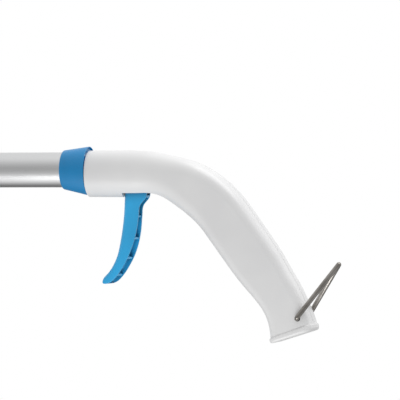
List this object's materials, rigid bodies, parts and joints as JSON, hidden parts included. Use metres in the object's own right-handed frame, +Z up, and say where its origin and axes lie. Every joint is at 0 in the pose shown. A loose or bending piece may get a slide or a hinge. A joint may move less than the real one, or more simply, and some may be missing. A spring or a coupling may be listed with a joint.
{
  "type": "long-handled sock aid",
  "caption": "Long-handled sock aid: a trigger on a bent pistol grip pulls a rod in an aluminium tube and spreads two arms that hold a sock open.",
  "frame": {"origin": "the trigger's pivot, on the axis of the tube", "axes": "+X along the tube from the spreader head towards the grip, +Z up (the grip hangs below the tube), +Y across, to the right of a user who looks along the tube"},
  "size_m": [0.7752, 0.072, 0.1219],
  "materials": {
    "satin_aluminium": "satin drawn tube with fine lengthwise brushing",
    "white_plastic": "moulded, half gloss, very fine grain",
    "blue_plastic": "moulded, satin",
    "bail_steel": "drawn wire, dulled by handling",
    "bright_steel": "turned, bright",
    "guide_plastic": "self-lubricating, dark grey",
    "soft_rubber": "soft moulded pad, fine ribs"
  },
  "bodies": {
    "handle": {"main_tube": "satin_aluminium", "grip_shell_left": "white_plastic", "grip_shell_right": "white_plastic", "butt_cap": "white_plastic", "front_collar": "blue_plastic", "head_collar": "blue_plastic", "trigger_pivot_pin": "bright_steel", "rod_guide_rear": "guide_plastic", "rod_guide_front": "guide_plastic", "return_spring": "bright_steel", "shell_screw_front": "bright_steel", "shell_screw_middle": "bright_steel", "shell_screw_rear": "bright_steel", "tube_rivet_rear_left": "bright_steel", "tube_rivet_rear_right": "bright_steel", "tube_rivet_front_left": "bright_steel", "tube_rivet_front_right": "bright_steel", "head_shell_bottom": "white_plastic", "head_shell_top": "white_plastic", "head_screw_rear_left": "bright_steel", "head_screw_rear_right": "bright_steel", "head_screw_front_left": "bright_steel", "head_screw_front_right": "bright_steel", "arm_pivot_pin_left": "bright_steel", "arm_pivot_pin_right": "bright_steel"},
    "trigger": {"trigger": "blue_plastic"},
    "drive": {"drive_yoke": "guide_plastic", "drive_pin": "bright_steel", "pull_rod": "bright_steel", "crosshead": "guide_plastic", "crosshead_pin_left": "bright_steel", "crosshead_pin_right": "bright_steel"},
    "arm_left": {"spreader_arm_left": "white_plastic", "spreader_pad_left": "soft_rubber"},
    "arm_right": {"spreader_arm_right": "white_plastic", "spreader_pad_right": "soft_rubber"},
    "bail": {"hanging_bail": "bail_steel"}
  },
  "joints": [
    {"name": "trigger_pivot", "type": "hinge", "parent": "handle", "child": "trigger", "pos_m": [0, 0, 0], "axis": [0, -1, 0], "range_deg": [0, 44], "stiffness_Nm_per_rad": 0.3, "springref_deg": -28.65},
    {"name": "drive_slide", "type": "slide", "parent": "handle", "child": "drive", "axis": [1, 0, 0], "range_m": [0, 0.0081], "deforming": ["return_spring"]},
    {"name": "arm_left_swing", "type": "hinge", "parent": "handle", "child": "arm_left", "pos_m": [-0.5299, -0.0075, 0], "axis": [0, 0, 1], "range_deg": [0, 30.2]},
    {"name": "arm_right_swing", "type": "hinge", "parent": "handle", "child": "arm_right", "pos_m": [-0.5299, 0.0075, 0], "axis": [0, 0, -1], "range_deg": [0, 30.2]},
    {"name": "bail_swing", "type": "hinge", "parent": "handle", "child": "bail", "pos_m": [0.10455, 0, -0.09125], "axis": [0, -1, 0], "range_deg": [-76, 14]}
  ],
  "couplings": [
    {"joint": "drive_slide", "follows": "trigger_pivot", "m_per_rad": 0.010522},
    {"joint": "arm_left_swing", "follows": "trigger_pivot", "ratio": 0.68522},
    {"joint": "arm_right_swing", "follows": "trigger_pivot", "ratio": 0.68522}
  ]
}
